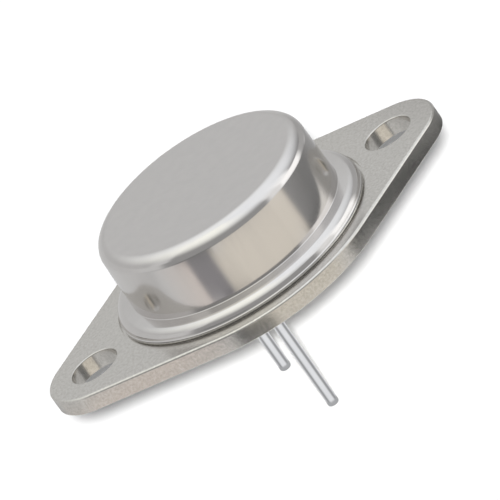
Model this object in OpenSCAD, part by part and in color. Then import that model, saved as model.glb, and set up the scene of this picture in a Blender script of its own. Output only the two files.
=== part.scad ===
// Power transistor in a two-hole metal can package.
// Sizes are in millimetres. The origin is the centre of the flat seat under the header,
// +Z points up through the cap and +X runs along the line of the bolt holes.

/* [Header] */
// Diameter of the header's round middle
header_d = 26; // [25:0.1:26.6]
// Radius of each ear's end
ear_r = 4.6; // [4.2:0.1:4.8]
// Distance from each bolt hole's centre to the end of its ear
ear_reach = 4.25; // [3.8:0.025:4.6]
// Thickness of the header plate
header_t = 1.5; // [1.3:0.05:1.8]
// Radius of the header's rolled upper edge
header_edge_r = 0.2; // [0.15:0.05:0.6]

/* [Bolt holes] */
// Distance between the centres of the bolt holes
bolt_pitch = 30.15; // [29.9:0.05:30.4]
// Diameter of each bolt hole
bolt_d = 4.2; // [3.8:0.05:4.3]
// Width of the small break on the bolt holes' rims
bolt_break = 0.1; // [0.05:0.05:0.3]

/* [Weld seat] */
// Height of the weld ridge that carries the cap
ridge_h = 0.1; // [0.05:0.05:0.2]
// Width of the weld ridge
ridge_w = 0.4; // [0.2:0.05:0.5]
// Width of the coined groove just outside the cap's flange
groove_w = 0.35; // [0.2:0.05:0.6]
// Depth of the coined groove
groove_depth = 0.2; // [0.1:0.05:0.4]

/* [Cap] */
// Height of the cap's top above the seat
cap_h = 8.4; // [7.4:0.1:8.6]
// Outer diameter of the cap just under its top edge
cap_d = 19.24; // [18.8:0.02:19.4]
// Outer diameter of the cap's wall at its foot
cap_foot_d = 19.5; // [19.2:0.02:19.8]
// Thickness of the drawn sheet
cap_sheet = 0.5; // [0.3:0.05:0.6]
// Outer radius of the cap's top edge
cap_edge_r = 1.1; // [0.8:0.05:1.6]
// Outer radius of the hollow curve from the wall to the flange
cap_foot_r = 0.15; // [0.1:0.05:0.3]
// Diameter of the cap's weld flange
cap_flange_d = 22.7; // [22.5:0.1:23]
// Thickness of the weld flange
cap_flange_t = 1; // [0.85:0.05:1.05]
// Height of the upright rim below the weld flange's rounded edge
cap_rim_h = 0.15; // [0.1:0.05:0.2]

/* [Leads] */
// Diameter of each lead
lead_d = 1; // [0.9:0.05:1.1]
// Length of each lead below the seat
lead_len = 11.7; // [7.5:0.1:12.2]
// Distance between the two leads
lead_pitch = 10.92; // [10.7:0.02:11.1]
// Distance from the package's centre to the line of the leads
lead_offset = 1.815; // [1.6:0.005:2]
// Diameter of the collar that holds each lead in its glass
collar_d = 1.5; // [1.4:0.05:1.8]
// Height of the lead posts above the header
post_h = 2.7; // [2.5:0.05:3.2]
// Bevel on both ends of each lead
lead_bevel = 0.2; // [0.1:0.05:0.3]
// Diameter of each glass seal
seal_d = 3.2; // [2.6:0.1:3.6]
// How far the glass climbs along the lead
seal_climb = 0.15; // [0.05:0.05:0.2]
// How far the rim of the glass lies below the header's faces
seal_sink = 0.2; // [0.2:0.05:0.3]

/* [Heat spreader] */
// Length of the copper heat spreader along X
spreader_len = 10; // [8.4:0.1:10.4]
// Width of heat spreader that shows on each side of the molybdenum plate
spreader_margin = 0.25; // [0.2:0.05:0.4]
// Thickness of the heat spreader
spreader_t = 1; // [0.6:0.1:1.4]
// Corner radius of the heat spreader
spreader_corner_r = 0.8; // [0.4:0.1:1.5]
// Distance of the heat spreader's centre from the package's centre
spreader_x = 2.2; // [2:0.1:2.4]
// Thickness of each braze and solder film
film_t = 0.06; // [0.04:0.01:0.1]

/* [Die] */
// Side of the square silicon die
die_w = 4.6; // [4.2:0.1:4.8]
// Thickness of the die
die_t = 0.25; // [0.2:0.01:0.4]
// Bevel of the die's mesa edge
mesa_bevel = 0.1; // [0.05:0.01:0.15]
// Distance of the die's centre from the package's centre
die_x = 2.6; // [2.2:0.1:3]
// Width of molybdenum plate that shows round the die
plate_margin = 0.75; // [0.7:0.05:0.8]
// Thickness of the molybdenum plate
plate_t = 0.3; // [0.2:0.05:0.5]
// Width of the silicone bead round the die
coating_w = 0.5; // [0.3:0.05:0.6]
// Width of the silicone bead that lies on the die
coating_lap = 0.14; // [0.1:0.01:0.18]
// Height of the silicone bead above the die
coating_rise = 0.05; // [0.02:0.01:0.06]

/* [Contacts] */
// Number of emitter fingers
fingers = 5; // [3:1:7]
// Width of each base finger
base_finger_w = 0.3; // [0.2:0.01:0.32]
// Gap between the two combs
comb_gap = 0.1; // [0.06:0.01:0.12]
// Distance from the combs to the edge of the die's top face
comb_margin = 0.18; // [0.16:0.01:0.22]
// Depth of each comb's contact strip
strip_w = 1.3; // [1.25:0.01:1.4]
// Thickness of the contact metal
metal_t = 0.03; // [0.02:0.01:0.05]

/* [Clips] */
// Width of each clip
clip_w = 1.1; // [0.9:0.05:1.15]
// Thickness of the clips' strip
clip_t = 0.2; // [0.1:0.05:0.25]
// Diameter of the eye that fits over the lead post
eye_d = 2.2; // [1.9:0.1:2.4]
// Clearance round the post in the eye
eye_gap = 0.05; // [0.02:0.01:0.08]
// Height of the eye above the header
eye_h = 1.8; // [1.6:0.05:1.9]
// Height of each clip's arch above its foot
arch_h = 0.9; // [0.6:0.05:1.6]
// Run of each sloping leg of the arch
leg_run = 0.8; // [0.5:0.05:1]
// Size of the solder fillet round the post
fillet_h = 0.35; // [0.2:0.01:0.4]
// Border of solder round each clip's foot
solder_border = 0.05; // [0:0.01:0.05]

/* [Hidden] */
$fn = 96;
fine_fn = 48;
arc_steps = 6;

// Facets of the header's arcs and of its rolled edge, which hull() makes flat
middle_fn = 180;
ear_fn = 90;
roll_fn = 24;

// Header outline
middle_r = header_d / 2;
bolt_x = bolt_pitch / 2;
ear_x = bolt_x + ear_reach - ear_r;

// Cap levels and radii
weld_z = header_t + ridge_h;
flange_top_z = weld_z + cap_flange_t;
flange_r = cap_flange_d / 2;
flange_edge_r = cap_flange_t - cap_rim_h;
cap_r = cap_d / 2;
wall_r = cap_foot_d / 2;
shoulder_z = cap_h - cap_edge_r;
straight_z = flange_top_z + cap_foot_r;

// Leads and seals: the emitter's lead is on the -Y side
emitter = -1;
base = 1;
lead_r = lead_d / 2;
collar_r = collar_d / 2;
seal_r = seal_d / 2;
post_z = header_t + post_h;

// Heights of the stack on the header
spreader_z = header_t + film_t;
plate_z = spreader_z + spreader_t + film_t;
plate_w = die_w + 2 * plate_margin;
spreader_w = plate_w + 2 * spreader_margin;
die_z = plate_z + plate_t + film_t;
die_top_z = die_z + die_t;
metal_top_z = die_top_z + metal_t;
foot_z = metal_top_z + film_t;
eye_z = header_t + eye_h;

// Contact combs on the die's top face
die_top_w = die_w - 2 * mesa_bevel;
comb_w = die_top_w - 2 * comb_margin;
finger_pitch_gap = base_finger_w + 2 * comb_gap;
emitter_finger_w = (comb_w - (fingers - 1) * finger_pitch_gap) / fingers;
finger_len = comb_w - 2 * strip_w - comb_gap;
pad_y = comb_w / 2 - strip_w / 2;
function post_point(side) = [-lead_offset, side * lead_pitch / 2];
function pad_point(side) = [die_x, side * pad_y];

// A strip's other face: each corner moved by t square to the path, mitred at the bends
function unit(v) = v / norm(v);
function square_to(a, b) = let(u = unit(b - a)) [-u[1], u[0]];
function first_side(p, i) = square_to(p[max(i - 1, 0)], p[max(i, 1)]);
function last_side(p, i) = square_to(p[min(i, len(p) - 2)], p[min(i + 1, len(p) - 1)]);
function mitre(p, i, t) =
    let(n = first_side(p, i), m = unit(n + last_side(p, i))) p[i] + m * t / (m * n);

// A round plate of radius r whose upper edge is rolled over
module rolled_disc(r, facets) {
    rotate_extrude($fn = facets) {
        square([r, header_t - header_edge_r]);
        square([r - header_edge_r, header_t]);
        translate([r - header_edge_r, header_t - header_edge_r]) intersection() {
            circle(r = header_edge_r, $fn = roll_fn);
            square(header_edge_r);
        }
    }
}

// The plain plate: a round middle and two round ears, joined by their tangents
module header_blank() {
    hull() {
        rolled_disc(middle_r, middle_fn);
        for (side = [-1, 1])
            translate([side * ear_x, 0, 0]) rolled_disc(ear_r, ear_fn);
    }
}

// A bolt hole with a small break on both rims
module bolt_hole() {
    cylinder(d = bolt_d, h = header_t);
    translate([0, 0, header_t - bolt_break])
        cylinder(d1 = bolt_d, d2 = bolt_d + 2 * bolt_break, h = bolt_break);
    cylinder(d1 = bolt_d + 2 * bolt_break, d2 = bolt_d, h = bolt_break);
}

// Stamped steel base plate with its weld ridge and coined groove
module header() {
    color("silver") {
        difference() {
            header_blank();
            for (side = [-1, 1])
                translate([side * bolt_x, 0, 0]) bolt_hole();
            for (side = [emitter, base])
                translate(post_point(side)) cylinder(r = seal_r, h = header_t, $fn = fine_fn);
            rotate_extrude() translate([flange_r, header_t - groove_depth])
                square([groove_w, groove_depth]);
        }
        rotate_extrude() translate([flange_r - ridge_w, header_t])
            square([ridge_w, ridge_h]);
    }
}

// Half section of the can, with its surface moved in by inset
module can_section(inset) {
    polygon([[0, weld_z], [wall_r - inset, weld_z], [wall_r - inset, straight_z],
        [cap_r - inset, shoulder_z], [0, shoulder_z]]);
    translate([0, shoulder_z]) square([cap_r - cap_edge_r, cap_edge_r - inset]);
    translate([cap_r - cap_edge_r, shoulder_z]) intersection() {
        circle(r = cap_edge_r - inset, $fn = fine_fn);
        square(cap_edge_r);
    }
}

// The corner between a wall and a floor that a concave arc of radius r fills
module foot_corner(r) {
    difference() {
        square(r);
        translate([r, r]) circle(r = r, $fn = fine_fn);
    }
}

// Half section of the weld flange: an upright rim under a rounded upper edge
module flange_section() {
    translate([0, weld_z]) square([flange_r, cap_rim_h]);
    translate([0, weld_z]) square([flange_r - flange_edge_r, cap_flange_t]);
    translate([flange_r - flange_edge_r, weld_z + cap_rim_h]) intersection() {
        circle(r = flange_edge_r, $fn = fine_fn);
        square(flange_edge_r);
    }
}

// Drawn steel can with a flared foot and a weld flange
module cap() {
    color("gainsboro") rotate_extrude() difference() {
        union() {
            can_section(0);
            flange_section();
            translate([wall_r, flange_top_z]) foot_corner(cap_foot_r);
        }
        can_section(cap_sheet);
        translate([wall_r - cap_sheet, weld_z]) foot_corner(cap_foot_r + cap_sheet);
    }
}

// Height of the glass's upper face over the header's, at step i out from the collar
function seal_face(i) = seal_climb * pow(1 - i / arc_steps, 2) - seal_sink;

// Round lead: a pin with a bevelled tip, a collar in the glass and a post above the header
module lead(side) {
    collar_top = header_t + seal_face(0);
    pin = [[0, -lead_len], [lead_r - lead_bevel, -lead_len], [lead_r, lead_bevel - lead_len],
        [lead_r, 0]];
    collar = [[collar_r, -seal_face(0)], [collar_r, collar_top]];
    post = [[lead_r, collar_top], [lead_r, post_z - lead_bevel],
        [lead_r - lead_bevel, post_z], [0, post_z]];
    translate(post_point(side)) rotate_extrude($fn = fine_fn)
        polygon(concat(pin, collar, post));
}

module emitter_lead() {
    color("lightgray") lead(emitter);
}

module base_lead() {
    color("lightgray") lead(base);
}

// Glass bead whose faces sink at the header and climb along the lead
module seal(side) {
    steps = [for (i = [0:arc_steps]) i];
    radii = [for (i = steps) collar_r + (seal_r - collar_r) * i / arc_steps];
    top = [for (i = steps) [radii[i], header_t + seal_face(i)]];
    bottom = [for (i = steps) [radii[arc_steps - i], -seal_face(arc_steps - i)]];
    translate(post_point(side)) rotate_extrude($fn = fine_fn) polygon(concat(top, bottom));
}

module emitter_seal() {
    color("darkslategray") seal(emitter);
}

module base_seal() {
    color("darkslategray") seal(base);
}

// Rounded rectangle centred on the heat spreader
module spreader_outline() {
    corner_x = spreader_len / 2 - spreader_corner_r;
    corner_y = spreader_w / 2 - spreader_corner_r;
    translate([spreader_x, 0]) {
        square([spreader_len, 2 * corner_y], center = true);
        square([2 * corner_x, spreader_w], center = true);
        for (x = [-corner_x, corner_x], y = [-corner_y, corner_y])
            translate([x, y]) circle(r = spreader_corner_r, $fn = fine_fn);
    }
}

module spreader_braze() {
    color("goldenrod") translate([0, 0, header_t]) linear_extrude(film_t) spreader_outline();
}

module heat_spreader() {
    color("peru") translate([0, 0, spreader_z]) linear_extrude(spreader_t) spreader_outline();
}

// A square slab on the die's centre line
module die_slab(w, z, t) {
    translate([die_x, 0, z]) linear_extrude(t) square(w, center = true);
}

module plate_solder() {
    color("slategray") die_slab(plate_w, plate_z - film_t, film_t);
}

module molybdenum_plate() {
    color("gray") die_slab(plate_w, plate_z, plate_t);
}

module die_solder() {
    color("slategray") die_slab(die_w, die_z - film_t, film_t);
}

// A square block that tapers from w to top_w over its height
module tapered_block(w, top_w, h) {
    profile = [[-w / 2, 0], [w / 2, 0], [top_w / 2, h], [-top_w / 2, h]];
    intersection_for(turn = [0, 90])
        rotate([90, 0, turn]) linear_extrude(w, center = true) polygon(profile);
}

// The chip, whose sides slope in to the mesa's top
module silicon_die() {
    color("dimgray") translate([die_x, 0, die_z]) tapered_block(die_w, die_top_w, die_t);
}

// Emitter comb: one contact strip and its fingers
module emitter_metal() {
    color("whitesmoke") translate([die_x, 0, die_top_z]) linear_extrude(metal_t) {
        translate([-comb_w / 2, -comb_w / 2]) square([comb_w, strip_w]);
        for (i = [0:fingers - 1])
            translate([i * (emitter_finger_w + finger_pitch_gap) - comb_w / 2, -comb_w / 2])
                square([emitter_finger_w, strip_w + finger_len]);
    }
}

// Base comb: one contact strip, with fingers between the emitter's
module base_metal() {
    first_x = emitter_finger_w + comb_gap - comb_w / 2;
    color("whitesmoke") translate([die_x, 0, die_top_z]) linear_extrude(metal_t) {
        translate([-comb_w / 2, comb_w / 2 - strip_w]) square([comb_w, strip_w]);
        for (i = [0:fingers - 2])
            translate([first_x + i * (emitter_finger_w + finger_pitch_gap),
                comb_w / 2 - strip_w - finger_len])
                square([base_finger_w, strip_w + finger_len]);
    }
}

// Silicone bead that seals the mesa's edge
module junction_coating() {
    bead_z = plate_z + plate_t;
    bead_h = die_top_z + coating_rise - bead_z;
    bead_w = die_w + 2 * coating_w;
    open_w = die_top_w - 2 * coating_lap;
    color("white") difference() {
        translate([die_x, 0, bead_z]) tapered_block(bead_w, die_top_w, bead_h);
        die_slab(die_w, bead_z, film_t);
        translate([die_x, 0, die_z]) tapered_block(die_w, die_top_w, die_t);
        die_slab(open_w, die_top_z, coating_rise);
    }
}

// Bent strap: an eye on the post, an arch, and a round foot on the die's contact strip
module clip(side) {
    start = post_point(side);
    reach = pad_point(side) - start;
    run = norm(reach);
    arch_z = foot_z + arch_h;
    arch_start = eye_d / 2 + leg_run;
    arch_end = run - clip_w / 2 - leg_run;
    path = [[0, eye_z], [eye_d / 2, eye_z], [arch_start, arch_z], [arch_end, arch_z],
        [run - clip_w / 2, foot_z], [run, foot_z]];
    outer = [for (i = [len(path) - 1:-1:0]) mitre(path, i, clip_t)];
    translate(start) rotate([0, 0, atan2(reach[1], reach[0])]) difference() {
        union() {
            rotate([90, 0, 0]) linear_extrude(clip_w, center = true) polygon(concat(path, outer));
            translate([0, 0, eye_z]) cylinder(d = eye_d, h = clip_t, $fn = fine_fn);
            translate([run, 0, foot_z]) cylinder(d = clip_w, h = clip_t, $fn = fine_fn);
        }
        translate([0, 0, eye_z]) cylinder(r = lead_r + eye_gap, h = clip_t, $fn = fine_fn);
    }
}

module emitter_clip() {
    color("lightsteelblue") clip(emitter);
}

module base_clip() {
    color("lightsteelblue") clip(base);
}

// Solder under a clip's foot
module clip_solder(side) {
    point = pad_point(side);
    translate([point[0], point[1], metal_top_z])
        cylinder(d = clip_w + 2 * solder_border, h = film_t, $fn = fine_fn);
}

module emitter_clip_solder() {
    color("slategray") clip_solder(emitter);
}

module base_clip_solder() {
    color("slategray") clip_solder(base);
}

// Solder fillet round the post, on top of the eye
module lead_solder(side) {
    point = post_point(side);
    translate([point[0], point[1], eye_z + clip_t]) rotate_extrude($fn = fine_fn)
        translate([lead_r, 0]) foot_corner(fillet_h);
}

module emitter_lead_solder() {
    color("slategray") lead_solder(emitter);
}

module base_lead_solder() {
    color("slategray") lead_solder(base);
}

header();
cap();
emitter_lead();
base_lead();
emitter_seal();
base_seal();
spreader_braze();
heat_spreader();
plate_solder();
molybdenum_plate();
die_solder();
silicon_die();
emitter_metal();
base_metal();
junction_coating();
emitter_clip();
base_clip();
emitter_clip_solder();
base_clip_solder();
emitter_lead_solder();
base_lead_solder();
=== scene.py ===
# Looks of a metal can power transistor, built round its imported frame
import math

import bpy
from mathutils import Matrix, Vector


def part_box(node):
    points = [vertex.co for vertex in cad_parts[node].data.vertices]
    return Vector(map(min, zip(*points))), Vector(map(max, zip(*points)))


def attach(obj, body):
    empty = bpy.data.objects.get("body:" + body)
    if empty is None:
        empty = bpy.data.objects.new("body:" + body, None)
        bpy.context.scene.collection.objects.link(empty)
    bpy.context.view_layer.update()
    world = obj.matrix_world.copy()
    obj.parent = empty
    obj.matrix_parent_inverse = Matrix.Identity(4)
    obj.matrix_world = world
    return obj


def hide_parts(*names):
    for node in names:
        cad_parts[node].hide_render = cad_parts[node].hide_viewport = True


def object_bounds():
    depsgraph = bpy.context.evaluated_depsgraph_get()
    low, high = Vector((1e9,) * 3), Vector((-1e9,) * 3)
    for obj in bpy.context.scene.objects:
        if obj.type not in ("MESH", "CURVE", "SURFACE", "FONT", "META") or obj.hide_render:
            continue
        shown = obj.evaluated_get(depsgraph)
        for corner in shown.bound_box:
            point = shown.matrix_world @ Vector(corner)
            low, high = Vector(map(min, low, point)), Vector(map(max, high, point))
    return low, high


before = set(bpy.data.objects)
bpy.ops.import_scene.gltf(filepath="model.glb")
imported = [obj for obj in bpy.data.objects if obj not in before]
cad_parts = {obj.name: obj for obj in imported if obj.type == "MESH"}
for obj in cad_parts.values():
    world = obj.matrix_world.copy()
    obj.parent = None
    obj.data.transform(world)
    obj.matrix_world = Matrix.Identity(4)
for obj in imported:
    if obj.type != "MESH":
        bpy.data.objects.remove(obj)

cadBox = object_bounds()
mm = 0.001
overcut = 1.0  # how far a cutter reaches past what it cuts, in millimetres


# colours are written as sRGB hex and turned to linear here
def linearColour(code):
    channels = [int(code[i:i + 2], 16) / 255 for i in (1, 3, 5)]
    return tuple(c / 12.92 if c <= 0.04045 else ((c + 0.055) / 1.055) ** 2.4 for c in channels) + (1,)


# one node with its settings, and links from earlier nodes into its inputs
def addNode(tree, kind, settings=None, links=None, **values):
    node = tree.nodes.new(kind)
    for key, value in (settings or {}).items():
        setattr(node, key, value)
    for key, value in values.items():
        node.inputs[key.replace("_", " ")].default_value = value
    for key, source in (links or {}).items():
        tree.links.new(source, node.inputs[key])
    return node


# a Mix node has several sockets called A, B and Result, so its colour ones go by number
colourA, colourB, mixedColour = 6, 7, 2


def newMaterial(name):
    material = bpy.data.materials.new(name)
    material.use_nodes = True
    material.node_tree.nodes.clear()
    return material, material.node_tree


# MATERIALS
def metalFinish(name, values):
    material, tree = newMaterial(name)
    place = addNode(tree, "ShaderNodeTexCoord")
    spread = addNode(tree, "ShaderNodeMapping", {}, {"Vector": place.outputs["Object"]},
                     Scale=values.get("patchStretch", (1, 1, 1)))
    patch = addNode(tree, "ShaderNodeTexNoise", {}, {"Vector": spread.outputs["Vector"]},
                    Scale=1 / (values["patchSize"] * mm), Detail=2.0)
    colour = addNode(tree, "ShaderNodeMix", {"data_type": "RGBA"}, {"Factor": patch.outputs["Fac"]})
    colour.inputs[colourA].default_value = linearColour(values["colour"])
    colour.inputs[colourB].default_value = linearColour(values["patchColour"])
    stretch = addNode(tree, "ShaderNodeMapping", {}, {"Vector": place.outputs["Object"]},
                      Scale=values["grainStretch"])
    grain = addNode(tree, "ShaderNodeTexNoise", {}, {"Vector": stretch.outputs["Vector"]},
                    Scale=1 / (values["grainSize"] * mm), Detail=3.0)
    rough = addNode(tree, "ShaderNodeMapRange", {}, {"Value": grain.outputs["Fac"]})
    rough.inputs["To Min"].default_value = values["roughness"][0]
    rough.inputs["To Max"].default_value = values["roughness"][1]
    relief = addNode(tree, "ShaderNodeBump", {}, {"Height": grain.outputs["Fac"]},
                     Strength=values["bump"], Distance=values["bumpDepth"] * mm)
    skin = addNode(tree, "ShaderNodeBsdfPrincipled", {},
                   {"Base Color": colour.outputs[mixedColour], "Roughness": rough.outputs["Result"],
                    "Normal": relief.outputs["Normal"]}, Metallic=1.0)
    addNode(tree, "ShaderNodeOutputMaterial", {}, {"Surface": skin.outputs["BSDF"]})
    return material


# bright nickel on drawn steel: clear reflections, hardly blurred by the plating's grain, and faint
# upright draw marks on the wall
capNickel = metalFinish("brightNickelPlateOnDrawnSteel", {
    "colour": "#DBD8D6", "patchColour": "#D4D2D0", "patchSize": 0.9, "patchStretch": (1, 1, 0.08),
    "grainSize": 0.35, "grainStretch": (1, 1, 0.25), "roughness": (0.10, 0.16),
    "bump": 0.05, "bumpDepth": 0.01})

# satin nickel on stamped steel: softer reflections with a fine straight grain from rolling
headerNickel = metalFinish("satinNickelPlateOnStampedSteel", {
    "colour": "#E3E0DB", "patchColour": "#BEBCB7", "patchSize": 0.22,
    "grainSize": 0.25, "grainStretch": (1, 0.3, 1), "roughness": (0.16, 0.26),
    "bump": 0.12, "bumpDepth": 0.012})

# nickel on drawn alloy wire: bright, with faint lines along the wire
leadNickel = metalFinish("nickelPlateOnDrawnWire", {
    "colour": "#DBDCDE", "patchColour": "#D2D3D6", "patchSize": 2.0,
    "grainSize": 0.15, "grainStretch": (1, 1, 0.08), "roughness": (0.12, 0.2),
    "bump": 0.08, "bumpDepth": 0.006})

# rolled copper: warm, soft reflections
copperPlate = metalFinish("rolledCopper", {
    "colour": "#D99A78", "patchColour": "#C98563", "patchSize": 3.0,
    "grainSize": 0.2, "grainStretch": (0.2, 1, 1), "roughness": (0.28, 0.4),
    "bump": 0.1, "bumpDepth": 0.01})

# flowed braze: pale gold and a little wavy
brazeMetal = metalFinish("flowedBraze", {
    "colour": "#D9C691", "patchColour": "#C4AC70", "patchSize": 1.0,
    "grainSize": 0.4, "grainStretch": (1, 1, 1), "roughness": (0.25, 0.4),
    "bump": 0.2, "bumpDepth": 0.01})

# flowed solder: grey, wavy and half matt
solderMetal = metalFinish("flowedSolder", {
    "colour": "#B4B6B9", "patchColour": "#9FA1A5", "patchSize": 0.8,
    "grainSize": 0.3, "grainStretch": (1, 1, 1), "roughness": (0.3, 0.45),
    "bump": 0.25, "bumpDepth": 0.01})

# ground molybdenum: darker grey than steel, with grinding lines
molybdenumMetal = metalFinish("groundMolybdenum", {
    "colour": "#9B9B9D", "patchColour": "#8E8E91", "patchSize": 1.5,
    "grainSize": 0.1, "grainStretch": (1, 0.1, 1), "roughness": (0.3, 0.42),
    "bump": 0.15, "bumpDepth": 0.006})

# evaporated aluminium: near white and smooth
contactAluminium = metalFinish("evaporatedAluminium", {
    "colour": "#E4E4E6", "patchColour": "#DADADD", "patchSize": 0.6,
    "grainSize": 0.05, "grainStretch": (1, 1, 1), "roughness": (0.2, 0.3),
    "bump": 0.05, "bumpDepth": 0.002})

# stamped nickel strip: warm grey with soft reflections
clipNickel = metalFinish("stampedNickelStrip", {
    "colour": "#CFC9BF", "patchColour": "#C2BBB0", "patchSize": 1.5,
    "grainSize": 0.15, "grainStretch": (0.3, 1, 1), "roughness": (0.22, 0.34),
    "bump": 0.1, "bumpDepth": 0.006})


def dullFinish(name, values):
    material, tree = newMaterial(name)
    place = addNode(tree, "ShaderNodeTexCoord")
    cloud = addNode(tree, "ShaderNodeTexNoise", {}, {"Vector": place.outputs["Object"]},
                    Scale=1 / (values["cloudSize"] * mm), Detail=4.0)
    colour = addNode(tree, "ShaderNodeMix", {"data_type": "RGBA"}, {"Factor": cloud.outputs["Fac"]})
    colour.inputs[colourA].default_value = linearColour(values["colour"])
    colour.inputs[colourB].default_value = linearColour(values["cloudColour"])
    relief = addNode(tree, "ShaderNodeBump", {}, {"Height": cloud.outputs["Fac"]},
                     Strength=values["bump"], Distance=values["bumpDepth"] * mm)
    skin = addNode(tree, "ShaderNodeBsdfPrincipled", {},
                   {"Base Color": colour.outputs[mixedColour], "Normal": relief.outputs["Normal"]},
                   Roughness=values["roughness"], Metallic=values["metallic"])
    addNode(tree, "ShaderNodeOutputMaterial", {}, {"Surface": skin.outputs["BSDF"]})
    return material


# fused sealing glass: dark blue green with a wet shine and faint bubbles
sealGlass = dullFinish("fusedSealingGlass", {
    "colour": "#1E2B2C", "cloudColour": "#2E3F3E", "cloudSize": 0.5,
    "roughness": 0.08, "metallic": 0.0, "bump": 0.1, "bumpDepth": 0.01})

# etched silicon: blue grey and half mirror
siliconChip = dullFinish("etchedSilicon", {
    "colour": "#4A4D58", "cloudColour": "#555863", "cloudSize": 1.0,
    "roughness": 0.22, "metallic": 0.6, "bump": 0.02, "bumpDepth": 0.002})

# cured silicone: milky and soft
curedSilicone = dullFinish("curedSilicone", {
    "colour": "#E8E6DF", "cloudColour": "#DAD7CE", "cloudSize": 0.4,
    "roughness": 0.45, "metallic": 0.0, "bump": 0.1, "bumpDepth": 0.01})

insideFinishes = {
    "spreader_braze": brazeMetal, "heat_spreader": copperPlate, "plate_solder": solderMetal,
    "molybdenum_plate": molybdenumMetal, "die_solder": solderMetal, "silicon_die": siliconChip,
    "emitter_metal": contactAluminium, "base_metal": contactAluminium,
    "junction_coating": curedSilicone, "emitter_clip": clipNickel, "base_clip": clipNickel,
    "emitter_clip_solder": solderMetal, "base_clip_solder": solderMetal,
    "emitter_lead_solder": solderMetal, "base_lead_solder": solderMetal}
for nodeName, finish in insideFinishes.items():
    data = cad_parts[nodeName].data
    data.materials.clear()
    data.materials.append(finish)
print("materials done")


# MODELLING HELPERS, all in millimetres until settle() turns a piece into metres
def addCircle(radius, height, corners, fill="NGON", place=(0, 0)):
    bpy.ops.object.select_all(action="DESELECT")
    bpy.ops.mesh.primitive_circle_add(vertices=corners, radius=radius, fill_type=fill,
                                      location=(place[0], place[1], height))
    bpy.ops.object.transform_apply(location=True, rotation=True, scale=True)
    return bpy.context.object


def addDrum(radius, low, high, corners, place=(0, 0)):
    bpy.ops.object.select_all(action="DESELECT")
    bpy.ops.mesh.primitive_cylinder_add(vertices=corners, radius=radius, depth=high - low,
                                        location=(place[0], place[1], (low + high) / 2))
    bpy.ops.object.transform_apply(location=True, rotation=True, scale=True)
    return bpy.context.object


def addRing(inner, outer, low, high, corners):
    ring = addCircle(inner, low, corners, "NOTHING")
    bpy.ops.object.mode_set(mode="EDIT")
    bpy.ops.mesh.select_all(action="SELECT")
    bpy.ops.mesh.extrude_region_move()
    bpy.ops.transform.resize(value=(outer / inner, outer / inner, 1))
    bpy.ops.mesh.select_all(action="SELECT")
    bpy.ops.mesh.extrude_region_move(TRANSFORM_OT_translate={"value": (0, 0, high - low)})
    bpy.ops.mesh.select_all(action="SELECT")
    bpy.ops.mesh.normals_make_consistent(inside=False)
    bpy.ops.object.mode_set(mode="OBJECT")
    return ring


# selects the edges whose two ends both pass the test
def pickEdges(piece, test):
    bpy.ops.object.mode_set(mode="EDIT")
    bpy.ops.mesh.select_mode(type="EDGE")
    bpy.ops.mesh.select_all(action="DESELECT")
    bpy.ops.object.mode_set(mode="OBJECT")
    points = piece.data.vertices
    count = 0
    for edge in piece.data.edges:
        edge.select = all(test(points[i].co) for i in edge.vertices)
        count += edge.select
    bpy.ops.object.mode_set(mode="EDIT")
    return count


def near(a, b, gap=0.004):
    return abs(a - b) < gap


# whether a point lies on a level circle
def onRing(point, radius, height, centre=(0, 0)):
    reach = math.hypot(point[0] - centre[0], point[1] - centre[1])
    return near(reach, radius, 0.01) and near(point[2], height)


def roundEdges(width, steps):
    bpy.ops.mesh.bevel(offset=width, segments=steps, profile=0.5, affect="EDGES", clamp_overlap=False)
    bpy.ops.object.mode_set(mode="OBJECT")


def applyModifier(piece, kind, **settings):
    modifier = piece.modifiers.new(kind.lower(), kind)
    for key, value in settings.items():
        setattr(modifier, key, value)
    bpy.ops.object.select_all(action="DESELECT")
    bpy.context.view_layer.objects.active = piece
    piece.select_set(True)
    bpy.ops.object.modifier_apply(modifier=modifier.name)


def cutAway(piece, cutter):
    applyModifier(piece, "BOOLEAN", operation="DIFFERENCE", solver="EXACT", object=cutter)
    bpy.data.objects.remove(cutter, do_unlink=True)


def joinTo(piece, *others):
    bpy.ops.object.select_all(action="DESELECT")
    for other in others:
        other.select_set(True)
    piece.select_set(True)
    bpy.context.view_layer.objects.active = piece
    bpy.ops.object.join()


# a finished piece: smooth, in metres, with its finish and its body, and the solid that it stands for
# hidden.
# The normals are weighted while it is in millimetres, because faces are too small for that in metres.
def settle(piece, name, finish, nodeName, sharpAngle=35):
    bpy.ops.object.mode_set(mode="OBJECT")
    bpy.ops.object.select_all(action="DESELECT")
    bpy.context.view_layer.objects.active = piece
    piece.select_set(True)
    piece.name = name
    piece.data.name = name
    bpy.ops.object.shade_smooth_by_angle(angle=math.radians(sharpAngle))
    applyModifier(piece, "WEIGHTED_NORMAL", keep_sharp=True, weight=50)
    piece.scale = (mm, mm, mm)
    bpy.ops.object.transform_apply(location=True, rotation=True, scale=True)
    piece.data.materials.clear()
    piece.data.materials.append(finish)
    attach(piece, "root")
    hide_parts(nodeName)
    print(name, "done,", len(piece.data.polygons), "faces")


# CAP: a hat with a thick round-edged brim, hollowed out with a second, smaller hat. The flare gap is
# the room that the hollow's brim has past the foot, and the skim is how far it stays under the cap.
capLow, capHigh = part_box("cap")
capValues = {
    "flangeRadius": capHigh[0] / mm, "bottom": capLow[2] / mm, "top": capHigh[2] / mm,
    "flange": 1.06, "fall": 0.154, "flangeRound": 0.76, "sheet": 0.5, "footWallRadius": 9.75,
    "topWallRadius": 9.62, "edgeRadius": 1.1, "footRadius": 0.05, "corners": 256, "roundSteps": 12,
    "flareGap": 0.4, "skim": 0.002, "seamRadius": 11.26, "seamLow": 0.0, "seamTop": 0.25,
    "seamReach": 0.5, "seamFlat": 0.001}


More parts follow.
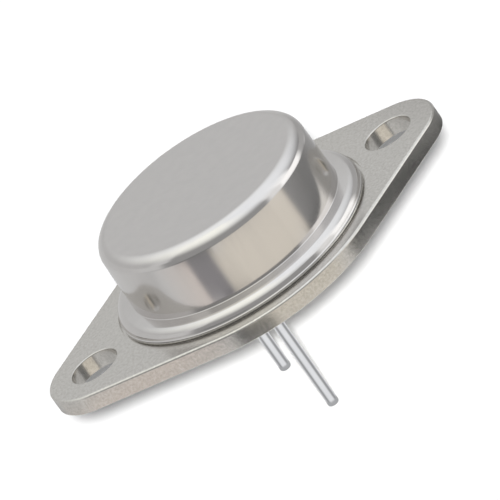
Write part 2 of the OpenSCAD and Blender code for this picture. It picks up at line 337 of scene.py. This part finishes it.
# a round brim that falls a little outwards, with a wall raised from it, hollow-curved at the foot
# and rounded over the top
def raiseHat(v, brimRadius, low, brimTop, fall, top, inward, footRadius, edgeRadius):
    wall, topWall = v["footWallRadius"] - inward, v["topWallRadius"] - inward
    piece = addCircle(brimRadius, brimTop - fall, v["corners"])
    bpy.ops.object.mode_set(mode="EDIT")
    bpy.ops.mesh.select_all(action="SELECT")
    bpy.ops.mesh.inset(thickness=brimRadius - wall, use_even_offset=True)
    bpy.ops.transform.translate(value=(0, 0, fall))
    bpy.ops.mesh.extrude_region_move(TRANSFORM_OT_translate={"value": (0, 0, top - brimTop)})
    bpy.ops.transform.resize(value=(topWall / wall, topWall / wall, 1))
    pickEdges(piece, lambda p: onRing(p, wall, brimTop))
    roundEdges(footRadius, v["roundSteps"])
    pickEdges(piece, lambda p: onRing(p, topWall, top))
    roundEdges(edgeRadius, v["roundSteps"])
    pickEdges(piece, lambda p: onRing(p, brimRadius, brimTop - fall))
    bpy.ops.mesh.extrude_region_move(TRANSFORM_OT_translate={"value": (0, 0, low - brimTop + fall)})
    bpy.ops.mesh.edge_face_add()
    bpy.ops.mesh.select_all(action="SELECT")
    bpy.ops.mesh.normals_make_consistent(inside=False)
    bpy.ops.object.mode_set(mode="OBJECT")
    return piece


def makeCap(v):
    brimTop = v["bottom"] + v["flange"]
    piece = raiseHat(v, v["flangeRadius"], v["bottom"], brimTop, v["fall"], v["top"], 0,
                     v["footRadius"], v["edgeRadius"])
    pickEdges(piece, lambda p: onRing(p, v["flangeRadius"], brimTop - v["fall"]))
    roundEdges(v["flangeRound"], v["roundSteps"])
    flare = v["footRadius"] + v["sheet"]
    hollow = raiseHat(v, v["footWallRadius"] + v["footRadius"] + v["flareGap"], v["bottom"] - overcut,
                      v["bottom"] - v["skim"], 0, v["top"] - v["sheet"], v["sheet"], flare,
                      v["edgeRadius"] - v["sheet"])
    cutAway(piece, hollow)
    # the weld seam: a ledge under the flange's round edge, with a hollow fillet below it
    seamLow, seamTop = v["bottom"] + v["seamLow"], v["bottom"] + v["seamTop"]
    seam = addRing(v["seamRadius"], v["flangeRadius"] + v["seamReach"], seamLow, seamTop, v["corners"])
    pickEdges(seam, lambda p: onRing(p, v["seamRadius"], seamLow))
    roundEdges(v["seamTop"] - v["seamLow"] - v["seamFlat"], v["roundSteps"])
    cutAway(piece, seam)
    return piece


settle(makeCap(capValues), "capShell", capNickel, "cap")

# HEADER: three drums wrapped in one skin, rolled at the upper edge, then pierced and grooved, with a
# weld ridge let into it
headLow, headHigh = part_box("header")
headerValues = {
    "reach": headHigh[0] / mm, "middleRadius": headHigh[1] / mm, "earRadius": 4.6,
    "thickness": 1.5, "edgeRadius": 0.2, "edgeSteps": 8, "underBreak": 0.06, "underSteps": 3,
    "boltX": 15.075, "boltRadius": 2.1, "boltBreak": 0.1, "boltSteps": 4,
    "leadX": -1.815, "leadY": 5.46, "sealRadius": 1.6,
    "grooveInner": capHigh[0] / mm + 0.07, "grooveWidth": 0.16, "grooveDepth": 0.2,
    "ridgeOuter": capHigh[0] / mm, "ridgeWidth": 0.4, "ridgeTop": headHigh[2] / mm,
    "ridgeSink": 0.02, "ridgeRound": 0.08, "ridgeSteps": 6,
    "middleCorners": 256, "earCorners": 128, "holeCorners": 96}


def makeHeader(v):
    earX = v["reach"] - v["earRadius"]
    piece = addDrum(v["middleRadius"], 0, v["thickness"], v["middleCorners"])
    ears = [addDrum(v["earRadius"], 0, v["thickness"], v["earCorners"], (side * earX, 0))
            for side in (-1, 1)]
    joinTo(piece, *ears)
    bpy.ops.object.mode_set(mode="EDIT")
    bpy.ops.mesh.select_all(action="SELECT")
    bpy.ops.mesh.convex_hull()
    bpy.ops.mesh.select_all(action="SELECT")
    bpy.ops.mesh.dissolve_limited(angle_limit=math.radians(0.2))
    bpy.ops.object.mode_set(mode="OBJECT")
    pickEdges(piece, lambda p: near(p[2], v["thickness"]))
    roundEdges(v["edgeRadius"], v["edgeSteps"])
    pickEdges(piece, lambda p: near(p[2], 0))
    roundEdges(v["underBreak"], v["underSteps"])
    above = v["thickness"] + overcut
    for side in (-1, 1):
        cutAway(piece, addDrum(v["boltRadius"], -overcut, above, v["holeCorners"],
                               (side * v["boltX"], 0)))
        cutAway(piece, addDrum(v["sealRadius"], -overcut, above, v["holeCorners"],
                               (v["leadX"], side * v["leadY"])))
    for side in (-1, 1):
        pickEdges(piece, lambda p: onRing(p, v["boltRadius"], 0, (side * v["boltX"], 0))
                  or onRing(p, v["boltRadius"], v["thickness"], (side * v["boltX"], 0)))
        roundEdges(v["boltBreak"], v["boltSteps"])
    cutAway(piece, addRing(v["grooveInner"], v["grooveInner"] + v["grooveWidth"],
                           v["thickness"] - v["grooveDepth"], above, v["middleCorners"]))
    ridge = addRing(v["ridgeOuter"] - v["ridgeWidth"], v["ridgeOuter"], v["thickness"] - v["ridgeSink"],
                    v["ridgeTop"], v["middleCorners"])
    pickEdges(ridge, lambda p: onRing(p, v["ridgeOuter"], v["ridgeTop"]))
    roundEdges(v["ridgeRound"], v["ridgeSteps"])
    joinTo(piece, ridge)
    return piece


settle(makeHeader(headerValues), "headerPlate", headerNickel, "header")

# LEADS: a pin pulled up from its tip, with a collar where the glass holds it, rounded at both ends
leadValues = {
    "radius": 0.5, "collarRadius": 0.75, "collarFoot": 0.05, "collarTop": 1.45,
    "endBevel": 0.2, "bevelSteps": 6, "corners": 64}


# extrudes what is selected upwards and scales it about its middle
def pullUp(height, factor=1.0):
    bpy.ops.mesh.extrude_region_move(TRANSFORM_OT_translate={"value": (0, 0, height)})
    bpy.ops.transform.resize(value=(factor, factor, 1))


def makeLead(v, nodeName):
    low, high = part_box(nodeName)
    centre = ((low[0] + high[0]) / 2 / mm, (low[1] + high[1]) / 2 / mm)
    bottom, top = low[2] / mm, high[2] / mm
    wider = v["collarRadius"] / v["radius"]
    piece = addCircle(v["radius"], bottom, v["corners"], "NGON", centre)
    bpy.ops.object.mode_set(mode="EDIT")
    bpy.ops.mesh.select_all(action="SELECT")
    pullUp(-bottom)  # the pin, up to the seat
    pullUp(v["collarFoot"], wider)
    pullUp(v["collarTop"] - v["collarFoot"])
    pullUp(0, 1 / wider)
    pullUp(top - v["collarTop"])  # the post inside the cap
    bpy.ops.mesh.select_all(action="SELECT")
    bpy.ops.mesh.normals_make_consistent(inside=False)
    bpy.ops.object.mode_set(mode="OBJECT")
    pickEdges(piece, lambda p: near(p[2], bottom) or near(p[2], top))
    roundEdges(v["endBevel"], v["bevelSteps"])
    return piece


for nodeName, name in (("emitter_lead", "emitterLead"), ("base_lead", "baseLead")):
    settle(makeLead(leadValues, nodeName), name, leadNickel, nodeName)

# SEALS: glass beads that climb a little towards the collars
sealValues = {
    "radius": headerValues["sealRadius"], "innerRadius": leadValues["collarRadius"],
    "thickness": headerValues["thickness"], "climb": 0.15, "sink": 0.2, "steps": 12, "corners": 64}


def makeSeal(v, nodeName):
    low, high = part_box(nodeName)
    centre = ((low[0] + high[0]) / 2 / mm, (low[1] + high[1]) / 2 / mm)
    # the upper face from the rim to the collar, as radius and height over the header's face, and the
    # same face turned over below
    shares = [i / v["steps"] for i in range(v["steps"] + 1)]
    face = [(v["radius"] + (v["innerRadius"] - v["radius"]) * share, v["climb"] * share ** 2 - v["sink"])
            for share in shares]
    rings = [(radius, v["thickness"] + height) for radius, height in face]
    rings += [(radius, -height) for radius, height in reversed(face)]
    piece = addCircle(rings[0][0], rings[0][1], v["corners"], "NOTHING", centre)
    bpy.ops.object.mode_set(mode="EDIT")
    bpy.ops.mesh.select_all(action="SELECT")
    for before, after in zip(rings, rings[1:] + rings[:1]):
        pullUp(after[1] - before[1], after[0] / before[0])
    bpy.ops.mesh.select_all(action="SELECT")
    bpy.ops.mesh.remove_doubles(threshold=0.0005)
    bpy.ops.mesh.normals_make_consistent(inside=False)
    bpy.ops.object.mode_set(mode="OBJECT")
    return piece


for nodeName, name in (("emitter_seal", "emitterSeal"), ("base_seal", "baseSeal")):
    settle(makeSeal(sealValues, nodeName), name, sealGlass, nodeName, 50)


# STAGE: a pale floor under the pins; camera, glossy and transmission rays see it white with its shadow
floorValues = {"size": 3.0, "gap": 0.02, "paper": "#EDEBE8", "seenPaper": 0.8, "glow": 0.06}
floorZ = cadBox[0][2] - floorValues["gap"] * mm  # the gap is in millimetres, the floor's size in metres


# 1 for the rays that should see the white backdrop: camera, glossy and transmission
def seenBackdrop(tree):
    ray = addNode(tree, "ShaderNodeLightPath")
    seen = addNode(tree, "ShaderNodeMath", {"operation": "MAXIMUM"})
    tree.links.new(ray.outputs["Is Camera Ray"], seen.inputs[0])
    tree.links.new(ray.outputs["Is Glossy Ray"], seen.inputs[1])
    both = addNode(tree, "ShaderNodeMath", {"operation": "MAXIMUM"})
    tree.links.new(seen.outputs[0], both.inputs[0])
    tree.links.new(ray.outputs["Is Transmission Ray"], both.inputs[1])
    return both.outputs[0]


def makeFloor(v):
    bpy.ops.object.select_all(action="DESELECT")
    bpy.ops.mesh.primitive_plane_add(size=v["size"], location=(0, 0, floorZ))
    bpy.ops.object.transform_apply(location=True, rotation=True, scale=True)
    floor = bpy.context.object
    floor.name = "floor"
    material, tree = newMaterial("palePaper")
    paper = addNode(tree, "ShaderNodeBsdfDiffuse", Color=linearColour(v["paper"]))
    lit = addNode(tree, "ShaderNodeBsdfDiffuse", Color=(v["seenPaper"],) * 3 + (1,))
    glow = addNode(tree, "ShaderNodeEmission", Color=(1, 1, 1, 1), Strength=v["glow"])
    seen = addNode(tree, "ShaderNodeAddShader")
    tree.links.new(lit.outputs[0], seen.inputs[0])
    tree.links.new(glow.outputs[0], seen.inputs[1])
    mix = addNode(tree, "ShaderNodeMixShader", {}, {"Fac": seenBackdrop(tree)})
    tree.links.new(paper.outputs[0], mix.inputs[1])
    tree.links.new(seen.outputs[0], mix.inputs[2])
    addNode(tree, "ShaderNodeOutputMaterial", {}, {"Surface": mix.outputs[0]})
    floor.data.materials.append(material)


makeFloor(floorValues)

# CARDS: rings of light and dark studio cards that only the metal's reflections show.
# Each stop is an azimuth in degrees, a light level and, where it isn't plain, a tint.
rampTop = 2.0  # ramp colours stay below 1, so each is held as its level over this number
seamBlur = 0.1  # half the height over which one row of cards turns into the next
cardLift = 0.01  # the cards' height over the floor
cardValues = {
    "radius": 34.0, "top": 14.0, "corners": 180, "seams": [-8.7, -7.2, -2.4, -1.6, 2.0],
    "rows": [
        [(-180, 0.66, "#FFF4EE"), (-150, 0.66, "#FFF4EE"), (-132, 0.6), (-128, 0.05), (-108, 0.05),
         (-103, 0.72, "#FFF8EC"), (-60, 0.72, "#FFF8EC"), (-47, 0.66), (-41, 0.05), (10, 0.05),
         (60, 0.4), (150, 0.5), (180, 0.66, "#FFF4EE")],
        [(-180, 0.86, "#FFF4EE"), (-150, 0.86, "#FFF4EE"), (-132, 0.78), (-128, 0.06), (-108, 0.06),
         (-103, 0.8, "#FFF8EC"), (-60, 0.8, "#FFF8EC"), (-47, 0.8), (-41, 0.05), (10, 0.05),
         (30, 0.3), (60, 0.6), (150, 0.62), (180, 0.72, "#FFF4EE")],
        [(-180, 0.62), (-172, 0.7), (-144, 0.8, "#FFF6F0"), (-140, 0.33, "#F8F5FA"),
         (-123, 0.34, "#F8F5FA"), (-119, 0.78, "#FFF8EC"), (-105, 0.86, "#FFF8EC"),
         (-43, 0.85, "#FFF8EC"), (-37.5, 0.32), (-14, 0.24), (4, 0.25),
         (22, 0.34), (42, 0.40), (60, 0.6), (150, 0.66), (180, 0.62)],
        [(-180, 0.6), (-172, 0.66), (-156, 0.72), (-146, 0.24), (-119, 0.22), (-116, 0.86),
         (-105, 0.93, "#FFF8EC"), (-43, 0.92, "#FFF8EC"), (-38, 0.15), (4, 0.17), (14, 0.25),
         (22, 0.6), (34, 0.40), (60, 0.6), (150, 0.62), (180, 0.6)],
        [(-180, 0.6), (-166, 0.6), (-156, 0.36), (-146, 0.24), (-121, 0.24), (-112, 0.36),
         (-60, 0.36), (-54, 0.9), (-41, 0.9), (-38, 1.2), (-8, 1.2), (2, 0.4), (14, 0.4), (22, 0.6),
         (34, 0.4), (60, 0.66), (165, 0.66), (180, 0.6)],
        [(-180, 0.7), (-165, 0.7), (-157, 0.38), (-60, 0.38), (-54, 1.0), (-41, 1.0), (-38, 1.4),
         (-7, 1.4), (3, 0.5), (40, 0.45), (60, 0.64), (165, 0.64), (180, 0.7)]]}

# a narrow sleeve of cards round each pin, closed below with a dark card
pinCardValues = {
    "radius": 1.1, "top": -0.5, "corners": 96, "closed": True, "seams": [-11.5],
    "rows": [
        [(-180, 0.55), (180, 0.55)],
        [(-180, 0.86), (-176, 0.6), (-168, 0.4), (-152, 0.4), (-137, 0.7), (-124, 1.08), (-72, 1.08),
         (-59, 0.7), (-44, 0.4), (-28, 0.4), (-20, 0.6), (-1, 0.92), (12, 0.96), (56, 0.9),
         (66, 0.45), (98, 0.45), (108, 0.9), (152, 0.96), (165, 0.92), (180, 0.84)]]}


# a wider sleeve under each bolt hole, which the hole's wall reflects
holeCardValues = {
    "radius": 3.0, "top": -0.12, "corners": 96, "closed": True, "seams": [],
    "rows": [
        [(-180, 0.6), (-165, 0.66), (-130, 0.68), (-125, 0.25), (-117, 0.25), (-113, 0.86, "#FFF8EC"),
         (-48, 0.86, "#FFF8EC"), (-42, 0.2), (-4, 0.2), (6, 0.55), (150, 0.55), (180, 0.6)]]}


# 0 to 1 round the compass from -180 to 180 degrees, for a vector's direction
def addCompass(tree, vector):
    axis = addNode(tree, "ShaderNodeSeparateXYZ", {}, {"Vector": vector})
    angle = addNode(tree, "ShaderNodeMath", {"operation": "ARCTAN2"})
    tree.links.new(axis.outputs["Y"], angle.inputs[0])
    tree.links.new(axis.outputs["X"], angle.inputs[1])
    turn = addNode(tree, "ShaderNodeMapRange", {}, {"Value": angle.outputs[0]})
    turn.inputs["From Min"].default_value = -math.pi
    turn.inputs["From Max"].default_value = math.pi
    return turn.outputs["Result"], axis.outputs["Z"]


def addRamp(tree, compass, row):
    ramp = addNode(tree, "ShaderNodeValToRGB", {}, {"Fac": compass})
    stops = ramp.color_ramp.elements
    while len(stops) < len(row):
        stops.new(1.0)
    for stop, (azimuth, level, *tint) in zip(stops, row):
        stop.position = (azimuth + 180) / 360
        colour = linearColour(tint[0] if tint else "#FFFFFF")
        stop.color = tuple(c * level / rampTop for c in colour[:3]) + (1,)
    return ramp.outputs["Color"]


# blends two colours over a height from start to end
def addSeam(tree, height, start, end, below, above):
    step = addNode(tree, "ShaderNodeMapRange", {"interpolation_type": "SMOOTHSTEP"}, {"Value": height})
    step.inputs["From Min"].default_value = start
    step.inputs["From Max"].default_value = end
    mixer = addNode(tree, "ShaderNodeMix", {"data_type": "RGBA"}, {"Factor": step.outputs["Result"]})
    for socket, colour in ((colourA, below), (colourB, above)):
        if isinstance(colour, tuple):
            mixer.inputs[socket].default_value = colour
        else:
            tree.links.new(colour, mixer.inputs[socket])
    return mixer.outputs[mixedColour]


def makeCards(v, name, centre=(0, 0)):
    bottom = floorZ / mm + cardLift
    ring = addCircle(v["radius"], bottom, v["corners"], "NGON" if v.get("closed") else "NOTHING")
    pickEdges(ring, lambda p: True)
    bpy.ops.mesh.extrude_edges_move(TRANSFORM_OT_translate={"value": (0, 0, v["top"] - bottom)})
    bpy.ops.object.mode_set(mode="OBJECT")
    ring.scale = (mm, mm, mm)
    bpy.ops.object.transform_apply(location=True, rotation=True, scale=True)
    ring.location = (centre[0] * mm, centre[1] * mm, 0)
    ring.name = name
    material, tree = newMaterial(name + "Board")
    place = addNode(tree, "ShaderNodeTexCoord")
    compass, height = addCompass(tree, place.outputs["Object"])
    colour = addRamp(tree, compass, v["rows"][0])
    for seam, row in zip(v["seams"], v["rows"][1:]):
        colour = addSeam(tree, height, (seam - seamBlur) * mm, (seam + seamBlur) * mm, colour,
                         addRamp(tree, compass, row))
    shine = addNode(tree, "ShaderNodeEmission", {}, {"Color": colour}, Strength=rampTop)
    addNode(tree, "ShaderNodeOutputMaterial", {}, {"Surface": shine.outputs[0]})
    ring.data.materials.append(material)
    for ray in ("camera", "diffuse", "transmission", "volume_scatter", "shadow"):
        setattr(ring, "visible_" + ray, False)


makeCards(cardValues, "studioCards")
for side, name in ((-1, "emitterPinCards"), (1, "basePinCards")):
    makeCards(pinCardValues, name, (headerValues["leadX"], side * headerValues["leadY"]))
for side, name in ((-1, "leftHoleCards"), (1, "rightHoleCards")):
    makeCards(holeCardValues, name, (side * headerValues["boltX"], 0))

# CAMERA: long lens at the photo's angle, rolled as the photo is
cameraValues = {
    "azimuth": -98.07, "elevation": 23.96, "roll": -35.19, "distance": 799.07, "clip": (0.1, 10),
    "target": (0.574, 0.286, 0.819), "focalPixels": 10002.9, "pictureSize": 500, "sensor": 36.0}


def makeCamera(v):
    a, e = math.radians(v["azimuth"]), math.radians(v["elevation"])
    away = Vector((math.cos(a) * math.cos(e), math.sin(a) * math.cos(e), math.sin(e)))
    level = away.to_track_quat("Z", "Y").to_matrix()
    turn = Matrix.Rotation(math.radians(v["roll"]), 3, "Z")
    data = bpy.data.cameras.new("photoCamera")
    camera = bpy.data.objects.new("photoCamera", data)
    bpy.context.scene.collection.objects.link(camera)
    place = (Vector(v["target"]) + away * v["distance"]) * mm
    camera.matrix_world = Matrix.Translation(place) @ (level @ turn).to_4x4()
    data.sensor_width = v["sensor"]
    data.lens = v["sensor"] * v["focalPixels"] / v["pictureSize"]
    data.clip_start, data.clip_end = v["clip"]
    bpy.context.scene.camera = camera
    return camera


camera = makeCamera(cameraValues)

# LIGHT: a studio dome that reflections show band by band, and a soft key lamp beside the camera.
# The overhead part starts where a direction's product with the tilt passes the overhead edge.
domeValues = {
    "overhead": [(-180, 1.34, "#FDFEF8"), (-110, 1.34, "#FDFEF8"), (-60, 1.2, "#F8FBFF"),
                 (60, 1.2, "#F8FBFF"), (180, 1.34, "#FDFEF8")],
    "overheadEdge": 0.62, "edgeBlur": 0.36, "overheadTilt": (0.16, -0.03, 1), "fill": 0.26,
    "row": [(-180, 0.72), (-166, 0.72), (-160, 0.38), (-56, 0.38), (-50, 1.0), (-36, 1.0), (-32, 1.3),
            (-16, 1.3), (-8, 0.3), (30, 0.28), (44, 0.45), (58, 0.6), (170, 0.6), (180, 0.72)]}


def makeDome(v):
    world = bpy.data.worlds.new("studioDome")
    bpy.context.scene.world = world
    world.use_nodes = True
    tree = world.node_tree
    tree.nodes.clear()
    place = addNode(tree, "ShaderNodeTexCoord")
    compass, _ = addCompass(tree, place.outputs["Generated"])
    tilt = addNode(tree, "ShaderNodeVectorMath", {"operation": "DOT_PRODUCT"})
    tree.links.new(place.outputs["Generated"], tilt.inputs[0])
    tilt.inputs[1].default_value = v["overheadTilt"]
    seen = addSeam(tree, tilt.outputs["Value"], v["overheadEdge"] - v["edgeBlur"],
                   v["overheadEdge"] + v["edgeBlur"], addRamp(tree, compass, v["row"]),
                   addRamp(tree, compass, v["overhead"]))
    # plain fill for what the lamps light, and plain white for the camera
    ray = addNode(tree, "ShaderNodeLightPath")
    fill = (v["fill"] / rampTop,) * 3 + (1,)
    lit = addSeam(tree, ray.outputs["Is Diffuse Ray"], 0.0, 1.0, seen, fill)
    shown = addSeam(tree, ray.outputs["Is Camera Ray"], 0.0, 1.0, lit, (1 / rampTop,) * 3 + (1,))
    sky = addNode(tree, "ShaderNodeBackground", {}, {"Color": shown}, Strength=rampTop)
    addNode(tree, "ShaderNodeOutputWorld", {}, {"Surface": sky.outputs[0]})


makeDome(domeValues)

# degrees to the left of the camera and over it, and the lamp's width in degrees, which softens the shadow
keyValues = {"left": 1.31, "up": 1.46, "angle": 3.1, "strength": 7.1}


def makeKey(v):
    data = bpy.data.lights.new("softKey", "SUN")
    data.angle = math.radians(v["angle"])
    data.energy = v["strength"]
    lamp = bpy.data.objects.new("softKey", data)
    bpy.context.scene.collection.objects.link(lamp)
    turn = camera.matrix_world.to_3x3()
    away = turn @ Vector((-math.tan(math.radians(v["left"])), math.tan(math.radians(v["up"])), 1))
    lamp.matrix_world = away.to_track_quat("Z", "Y").to_matrix().to_4x4()
    lamp.visible_glossy = False
    lamp.visible_camera = False


makeKey(keyValues)
bpy.context.scene.view_settings.view_transform = "Standard"
print("stage done")
